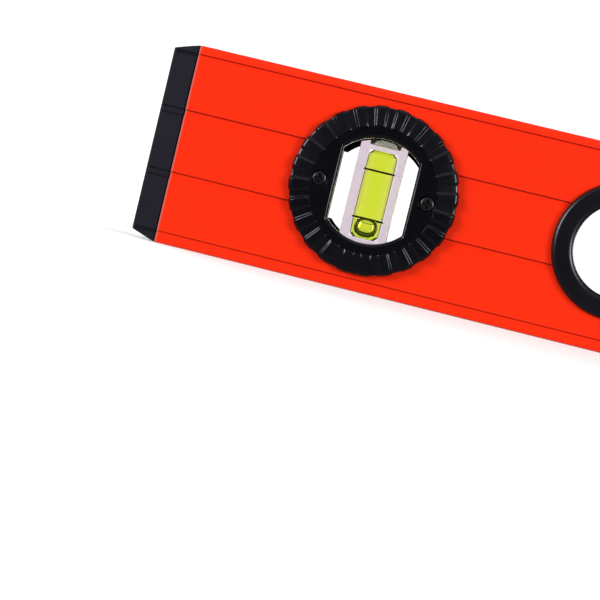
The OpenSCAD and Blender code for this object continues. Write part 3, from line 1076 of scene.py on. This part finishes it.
@dataclass
class RotaryVial:
    """A plumb vial that turns in its housing, with a ribbed ring on one face of the level.

    The other face has the lens over the printed scales, which don't turn.
    """

    finishes: Finishes
    side: Side
    ring_back: float = 12.72
    ring_face: float = 15.5
    face_radius: float = 18.8
    rim_radius: float = 24.7
    cone_drop: float = 1.2
    ribs: int = 24
    rib_share: float = 0.55
    rib_slope: float = 1.05
    rib_soft: float = 0.12
    window_radius: float = 15.5
    window_half: float = 11.3
    screw_offset: float = 16.2
    block: Triple = (14.3, 35.0, 15.0)
    block_bevel: float = 0.15
    screw_head: tuple[Point, ...] = (
        (0.0, 15.28),
        (0.9, 15.26),
        (1.6, 15.16),
        (2.05, 14.95),
        (2.25, 14.65),
        (2.25, 14.05),
        (0.0, 14.05),
    )
    screw_hole: tuple[Point, ...] = ((2.35, 14.0), (2.35, 15.08), (2.85, 15.6), (2.85, 17.0))
    cross_reach: float = 1.35
    cross_half: float = 0.33
    cross_floor: float = 14.5
    cross_top: float = 16.0
    column_shift: float = -0.9
    scale_level: float = -11.32
    lens_radius: float = 24.85
    lens_round: float = 0.35
    lens_dome: tuple[Point, ...] = ((18.0, 0.05), (12.0, 0.09), (6.0, 0.11), (0.0, 0.12))
    lens_front: float = -12.52
    lens_back: float = -11.46

    @property
    def body(self) -> str:
        """The body that turns."""
        return f"rotary_vial_{self.side.word}"

    def place(self) -> Place:
        """The dial's frame: Z points out of the thumb ring and Y is up.

        Returns:
            The frame, in metres.
        """
        low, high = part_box(f"scale_ring_{self.side.word}")
        middle = (low + high) / 2
        centre = Matrix.Translation((middle.x, 0.0, middle.z))
        turned = Matrix.Rotation(0.0 if self.side is Side.LEFT else math.pi, 4, "Z")
        return centre @ turned @ Matrix.Rotation(math.pi / 2, 4, "X")

    def upright(self) -> Place:
        """The same frame, turned so that its Z runs up the vial."""
        return self.place() @ Matrix.Rotation(-math.pi / 2, 4, "X")

    def rib_height(self, angle: float) -> float:
        """How much of a rib stands at an angle, from 0 in a gap to 1 on a rib.

        Args:
            angle: The angle round the ring, in degrees.

        Returns:
            The share.
        """
        pitch = 360.0 / self.ribs
        half = pitch * self.rib_share / 2
        off = abs((angle % pitch) - pitch / 2)
        share = (half + self.rib_slope - off) / (2 * self.rib_slope)
        soft = self.rib_soft
        if share < soft:
            return max(share + soft, 0.0) ** 2 / (4 * soft)
        if share > 1.0 - soft:
            return 1.0 - max(1.0 + soft - share, 0.0) ** 2 / (4 * soft)
        return share

    def rib_angles(self) -> list[float]:
        """Angles round the ring, closest together where a rib's sides rise.

        Returns:
            The angles in degrees, in order.
        """
        pitch = 360.0 / self.ribs
        half = pitch * self.rib_share / 2
        rise = [half + self.rib_slope * step / 4 for step in range(-5, 6)]
        inside = (0.0, half * 0.5, *rise)
        offsets = sorted({-off for off in inside} | set(inside) | {-pitch / 2})
        middles = [(rib + 0.5) * pitch for rib in range(self.ribs)]
        angles = {round(middle + off, 4) % 360.0 for middle in middles for off in offsets}
        corner = math.degrees(math.acos(self.window_half / self.window_radius))
        angles |= {corner, 180.0 - corner, 180.0 + corner, 360.0 - corner}
        return sorted(angles)

    def ring_section(self, angle: float) -> list[Point]:
        """The ring's section at an angle, as points of radius and height.

        Args:
            angle: The angle round the ring, in degrees.

        Returns:
            The points, in order round the section.
        """
        rib = self.rib_height(angle)
        flat = abs(math.cos(math.radians(angle)))
        window = min(self.window_radius, self.window_half / max(flat, 1e-6))
        top, rim = self.ring_face, self.rim_radius

        def cone(radius: float) -> float:
            """Height of the ring's sloping band."""
            return top - self.cone_drop * (radius - self.face_radius) / (rim - self.face_radius)

        outer = rim + 0.4 * rib
        window_edge = [
            (window, self.ring_back),
            (window, top - 0.62),
            (window + 0.14, top - 0.34),
            (window + 0.70, top - 0.07),
            (window + 0.88, top - 0.005),
            (window + 0.96, top),
        ]
        ribbed_cone = [
            (self.face_radius - 0.15, top),
            (self.face_radius - 0.02, top + 0.25 * rib),
            (self.face_radius + 0.2, cone(19.0) + 0.5 * rib),
            (20.6, cone(20.6) + 0.54 * rib),
            (22.4, cone(22.4) + 0.60 * rib),
            (24.0, cone(24.0) + 0.66 * rib),
        ]
        outer_wall = [
            (24.4 + 0.1 * rib, cone(24.4) + 0.60 * rib - 0.06),
            (rim - 0.05 + 0.25 * rib, cone(rim) + 0.30 * rib - 0.20),
            (outer, cone(rim) - 0.55),
            (outer, self.ring_back + 0.35),
            (outer - 0.3, self.ring_back),
        ]
        return window_edge + ribbed_cone + outer_wall

    def build_ring(self) -> None:
        """Sweeps the ribbed ring round its window and sinks the screw holes."""
        rings = []
        for angle in self.rib_angles():
            turn = math.radians(angle)
            spoke = Vector((math.cos(turn), math.sin(turn), 0.0))
            section = self.ring_section(angle)
            rings.append([spoke * radius + Vector((0, 0, up)) for radius, up in section])
        build = Build()
        build.loft(rings, closed=True)
        ring = build.piece(f"thumb_ring_{self.side.word}_ribbed", self.place())
        holes = Build()
        for sign in (-1, 1):
            holes.lathe(self.screw_hole, 48, (sign * self.screw_offset, 0.0))
        cut(ring, holes.piece("screw_holes", self.place()))
        node = f"thumb_ring_{self.side.word}"
        settle(ring, self.finishes.dial, self.body, [node])

    def build_screws(self) -> None:
        """Builds the two cross-recess screws."""
        heads, crosses = Build(), Build()
        plus = cross(self.cross_reach, self.cross_half)
        for sign in (-1, 1):
            shift = sign * self.screw_offset
            heads.lathe(self.screw_head, 40, (shift, 0.0))
            crosses.prism([(x + shift, y) for x, y in plus], self.cross_floor, self.cross_top)
        screws = heads.piece(f"ring_screws_{self.side.word}_heads", self.place())
        cut(screws, crosses.piece("crosses", self.place()))
        node = f"ring_screws_{self.side.word}"
        settle(screws, self.finishes.steel, self.body, [node])

    def build_vial(self) -> None:
        """Builds the block, the liquid and the bubble, one inside the other."""
        word = self.side.word
        block = Build()
        block.box(self.block, self.block_bevel)
        piece = block.piece(f"plumb_block_{word}_acrylic", self.place(), 60.0, crowned=True)
        settle(piece, self.finishes.blocks["plumb"], self.body, [f"plumb_block_{word}"])
        up = self.upright()
        liquid = Build()
        liquid.lathe(Column(26.3, 4.36).outline(), 72)
        place = up @ Matrix.Translation((0, 0, self.column_shift * MM))
        piece = liquid.piece(f"plumb_liquid_{word}_column", place)
        settle(piece, self.finishes.liquids["plumb"], self.body, [f"plumb_liquid_{word}"])
        low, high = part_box(f"plumb_bubble_{word}")
        bubble = Build()
        bubble.lathe(RoundBubble().outline(), 64)
        lift = (low.z + high.z) / 2 - self.place().translation.z
        piece = bubble.piece(
            f"plumb_bubble_{word}_gas", up @ Matrix.Translation((0, 0, lift)), 80.0
        )
        body = f"plumb_bubble_{word}"
        settle(piece, self.finishes.bubble, body, [f"plumb_bubble_{word}"])

    def build_plug(self) -> None:
        """Builds the plug that closes the vial above its liquid."""
        low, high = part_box(f"plumb_plug_{self.side.word}")
        middle = self.place().translation.z
        tip, end = (low.z - middle) / MM, (high.z - middle) / MM
        head = tip + 1.25
        build = Build()
        outline = [(0.0, head), (4.1, head), (4.45, head + 0.12), (4.57, head + 0.5)]
        outline += [(4.57, end - 0.2), (4.4, end - 0.02), (0.0, end - 0.02)]
        build.lathe(outline, 72)
        name = f"plumb_plug_{self.side.word}"
        piece = build.piece(name + "_stopper", self.upright())
        settle(piece, self.finishes.plug, self.body, [name])

    def build_lens(self) -> None:
        """Builds the faintly domed lens with its rounded rim."""
        rim, front, back = self.lens_radius, self.lens_front, self.lens_back
        edge = self.lens_round
        outline = [(0.0, back), (rim - 0.3, back), (rim - 0.15, back), (rim, back - 0.15)]
        outline += arc((rim - edge, front + edge), edge, 0, -90, 5)
        outline += [(rim - 0.42, front - 0.002), (rim - 0.7, front - 0.005)]
        outline += [(reach, front - rise) for reach, rise in self.lens_dome]
        build = Build()
        build.lathe(outline, 128)
        name = f"scale_lens_{self.side.word}"
        piece = build.piece(name + "_domed", self.place(), 50.0)
        settle(piece, self.finishes.lens, ROOT, [name])

    def build_scale(self) -> None:
        """Prints the degree scale on one side and the slope scale on the other."""
        printer = ScalePrinter(self.scale_level, 0.05)
        for degree in range(0, 91):
            long = degree % 10 == 0
            middle = degree % 5 == 0
            inner = 22.3 if long else 22.9 if middle else 23.4
            printer.tick(135.0 + degree, inner, 24.4, 0.20 if long else 0.13)
        for degree in range(0, 91, 10):
            printer.number(str(degree), 20.8, 135.0 + degree, 2.3)
        printer.triangle([(19.8, 229.3), (23.0, 228.0), (21.6, 241.5)])
        zero = 315.0
        for percent in range(-100, 101, 5):
            long = percent % 20 == 0
            slope = zero + math.degrees(math.atan(percent / 100.0))
            inner = 22.1 if long else 22.8
            printer.tick(slope, inner, 24.5, 0.20 if long else 0.15)
        for percent in (-60, -40, -20, 20, 40, 60):
            slope = zero + math.degrees(math.atan(percent / 100.0))
            printer.number(str(abs(percent)), 20.3, slope, 2.3)
        printer.number("%", 20.3, zero - 43.0, 2.6)
        printer.triangle([(18.9, zero - 3.6), (18.9, zero + 3.6), (21.5, zero)], 0.26)
        piece = printer.build.piece(f"scale_marks_{self.side.word}", self.place())
        settle(piece, self.finishes.marks, ROOT)

    def build(self) -> None:
        """Builds and dresses the whole rotary vial."""
        word = self.side.word
        dress(f"dial_housing_{word}", self.finishes.dial)
        dress(f"vial_carrier_{word}", self.finishes.carrier)
        dress(f"friction_ring_{word}", self.finishes.rubber)
        dress(f"scale_ring_{word}", self.finishes.ground)
        dress(f"plumb_lines_{word}", self.finishes.line)
        self.build_ring()
        self.build_screws()
        self.build_vial()
        self.build_plug()
        self.build_lens()
        self.build_scale()


@dataclass
class CentreVial:
    """The levelling vial in its frame at the middle of the top edge."""

    finishes: Finishes
    block_bevel: float = 0.35
    column: Column = Column(41.9, 4.96, 0.12, 0.8)
    column_shift: float = -1.0
    bubble_half: float = 7.7
    bubble_spread: float = 62.0
    bubble_power: float = 2.6
    bubble_sag: float = 0.35
    bubble_slim: float = 0.8
    bubble_gap: float = 0.03
    cover_bevel: float = 0.3

    def place(self) -> Place:
        """The vial's frame: Z runs along the level to the right, and X points down.

        Returns:
            The frame, in metres.
        """
        low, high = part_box("centre_vial_lines")
        middle = (low + high) / 2
        return Matrix.Translation((0.0, 0.0, middle.z)) @ Matrix.Rotation(math.pi / 2, 4, "Y")

    def bubble_ring(self, share: float, wall: float) -> list[Vector]:
        """A section of the bubble, which hugs the top of its tube.

        Args:
            share: Place along the bubble, from -1 to 1.
            wall: Radius that the bubble's middle reaches to.

        Returns:
            The section's points.
        """
        full = math.sqrt(max(1.0 - abs(share) ** self.bubble_power, 0.0))
        wall -= self.bubble_slim * (1.0 - full)
        spread = math.radians(max(self.bubble_spread * full, 0.4))
        steps = 14
        over = [spread * (2 * step / steps - 1) for step in range(steps + 1)]
        top = [(-wall * math.cos(turn), wall * math.sin(turn)) for turn in over]
        floor = wall * math.cos(spread)
        sag = self.bubble_sag * full
        under = []
        for step in range(1, steps):
            across = 1 - 2 * step / steps
            down = -floor + sag * (1 - across**2)
            under.append((down, wall * math.sin(spread) * across))
        along = share * self.bubble_half
        return [Vector((x, y, along)) for x, y in [*top, *under]]

    def build_vial(self) -> None:
        """Builds the block, the liquid and the bubble."""
        low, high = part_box("centre_vial_block")
        size = (high - low) / MM
        block = Build()
        block.box(tuple(size), self.block_bevel, tuple((low + high) / 2 / MM))
        piece = block.piece("centre_vial_block_acrylic", Matrix.Identity(4), 60.0, crowned=True)
        settle(piece, self.finishes.blocks["centre"], ROOT, ["centre_vial_block"])
        liquid = Build()
        liquid.lathe(self.column.outline(), 72)
        place = self.place() @ Matrix.Translation((0, 0, self.column_shift * MM))
        piece = liquid.piece("centre_vial_liquid_column", place)
        settle(piece, self.finishes.liquids["centre"], ROOT, ["centre_vial_liquid"])
        bubble = Build()
        shares = [math.sin(math.pi / 2 * step / 16) for step in range(-16, 17)]
        wall = self.column.radius - self.column.drop - self.bubble_gap
        bubble.loft([self.bubble_ring(share, wall) for share in shares], capped=True)
        piece = bubble.piece("centre_bubble_gas", self.place(), 75.0)
        settle(piece, self.finishes.bubble, "centre_bubble", ["centre_bubble"])

    def build_lens(self) -> None:
        """Builds the clear cover at the top edge."""
        low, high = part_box("centre_top_lens")
        build = Build()
        size, centre = (high - low) / MM, (low + high) / 2 / MM
        build.box(tuple(size), self.cover_bevel, tuple(centre))
        piece = build.piece("centre_top_lens_cover", Matrix.Identity(4), 60.0)
        settle(piece, self.finishes.lens, ROOT, ["centre_top_lens"])

    def build(self) -> None:
        """Builds and dresses the centre vial."""
        dress("centre_frame_front", self.finishes.dial)
        dress("centre_frame_back", self.finishes.dial)
        dress("centre_frame_screws", self.finishes.steel)
        dress("centre_vial_lines", self.finishes.line)
        dress("centre_vial_plug", self.finishes.plug)
        self.build_vial()
        self.build_lens()


# ---- studio --------------------------------------------------------------------------------


@dataclass(frozen=True)
class Lamp:
    """One distant soft light: where it stands from the level, and its angle in degrees."""

    name: str
    at: Triple
    spread: float
    power: float

    def build(self) -> None:
        """Adds the light, aimed at the level."""
        data = bpy.data.lights.new(self.name, "SUN")
        data.energy = self.power
        data.angle = math.radians(self.spread)
        light = bpy.data.objects.new(self.name, data)
        bpy.context.scene.collection.objects.link(light)
        light.location = self.at
        light.rotation_mode = "QUATERNION"
        light.rotation_quaternion = (-Vector(self.at)).to_track_quat("-Z", "Y")


LAMPS = (
    Lamp("left_key", (-1.38, -0.93, 0.45), 28.0, 2.25),
    Lamp("right_key", (1.26, -1.09, 0.40), 26.0, 1.95),
    Lamp("overhead", (-0.1, -0.5, 1.6), 50.0, 0.25),
    Lamp("left_rear", (-1.2, 1.1, 0.5), 36.0, 1.7),
    Lamp("right_rear", (1.3, 1.0, 0.4), 36.0, 1.7),
)


@dataclass
class Studio:
    """A plain white floor, soft light and the camera."""

    eye: Triple = (-217.8, -415.5, 18.6)
    aim: Triple = (-245.9, -12.5, -6.2)
    roll: float = 13.8
    lens: float = 82.1
    floor_size: float = 40.0
    floor_lift: float = 0.28
    backdrop: float = 1.2
    ambience: float = 0.30
    sheen_front: float = 0.05
    sheen_rear: float = 0.45
    strip_edge: Point = (0.27, 0.36)
    strip_shine: float = 0.16

    def build_camera(self) -> None:
        """Adds the camera."""
        data = bpy.data.cameras.new("camera")
        data.lens = self.lens
        data.sensor_width = 36.0
        data.clip_start = 0.005
        data.clip_end = 100.0
        camera = bpy.data.objects.new("camera", data)
        bpy.context.scene.collection.objects.link(camera)
        eye, aim = Vector(self.eye) * MM, Vector(self.aim) * MM
        camera.location = eye
        camera.rotation_mode = "QUATERNION"
        level = (aim - eye).to_track_quat("-Z", "Y")
        turn = Matrix.Rotation(math.radians(self.roll), 3, "Z").to_quaternion()
        camera.rotation_quaternion = level @ turn
        bpy.context.scene.camera = camera

    def build_floor(self) -> None:
        """Adds the floor."""
        half = self.floor_size / 2
        data = bpy.data.meshes.new("floor")
        corners = [(-half, -half, 0), (half, -half, 0), (half, half, 0), (-half, half, 0)]
        data.from_pydata(corners, [], [(0, 1, 2, 3)])
        shader = Shader("floor")
        tone = shader.blend(shader.noise(3.0), (0.95, 0.95, 0.95), (0.92, 0.92, 0.92))
        paper = shader.surface(
            Base_Color=tone,
            Roughness=0.8,
            Specular_IOR_Level=0.1,
            Emission_Color=(1.0, 1.0, 1.0),
            Emission_Strength=self.floor_lift,
        )
        data.materials.append(paper)
        floor = bpy.data.objects.new("floor", data)
        bpy.context.scene.collection.objects.link(floor)
        floor.visible_diffuse = False
        floor.visible_glossy = False

    def build_room(self) -> None:
        """Makes the room a white backdrop that lights softly and shines faintly in gloss."""
        world = bpy.data.worlds.new("room")
        bpy.context.scene.world = world
        world.use_nodes = True
        room = Graph(world.node_tree)
        toward = room.node("ShaderNodeTexCoord", output="Generated")
        split = room.node("ShaderNodeSeparateXYZ", None, {0: toward})
        rear = split.output("Y").step(-0.3, 0.5)
        sheen = self.sheen_front + rear * (self.sheen_rear - self.sheen_front)
        strips = abs(split.output("Z")).step(*self.strip_edge) * (1.0 - rear)
        gloss = sheen + strips * self.strip_shine
        rays = room.node("ShaderNodeLightPath")
        scattered = rays.output("Diffuse Depth").step(0.2, 0.8)
        direct = rays.output("Is Camera Ray") + rays.output("Is Transmission Ray")
        seen = direct * (1.0 - scattered)
        shine = rays.output("Is Glossy Ray") * gloss * (1.0 - scattered)
        strength = seen * self.backdrop + (1.0 - seen) * (scattered * self.ambience + shine)
        white = {"Color": (1.0, 1.0, 1.0), "Strength": strength}
        room.end("ShaderNodeOutputWorld", room.node("ShaderNodeBackground", None, white))

    def build(self) -> None:
        """Builds the studio."""
        self.build_camera()
        self.build_floor()
        self.build_room()
        for lamp in LAMPS:
            lamp.build()
        bpy.context.scene.view_settings.view_transform = "Standard"


def main() -> None:
    """Builds the level and its studio."""
    logging.basicConfig(level=logging.INFO, format="%(name)s: %(message)s")
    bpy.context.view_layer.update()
    finishes = Finishes()
    Beam(finishes).build()
    for side in Side:
        EndCap(finishes, side).build()
        for face in Face:
            HandGrip(finishes, side, face).build()
        RotaryVial(finishes, side).build()
    CentreVial(finishes).build()
    Studio().build()
    bpy.context.view_layer.update()


if __name__ == "__main__":
    main()
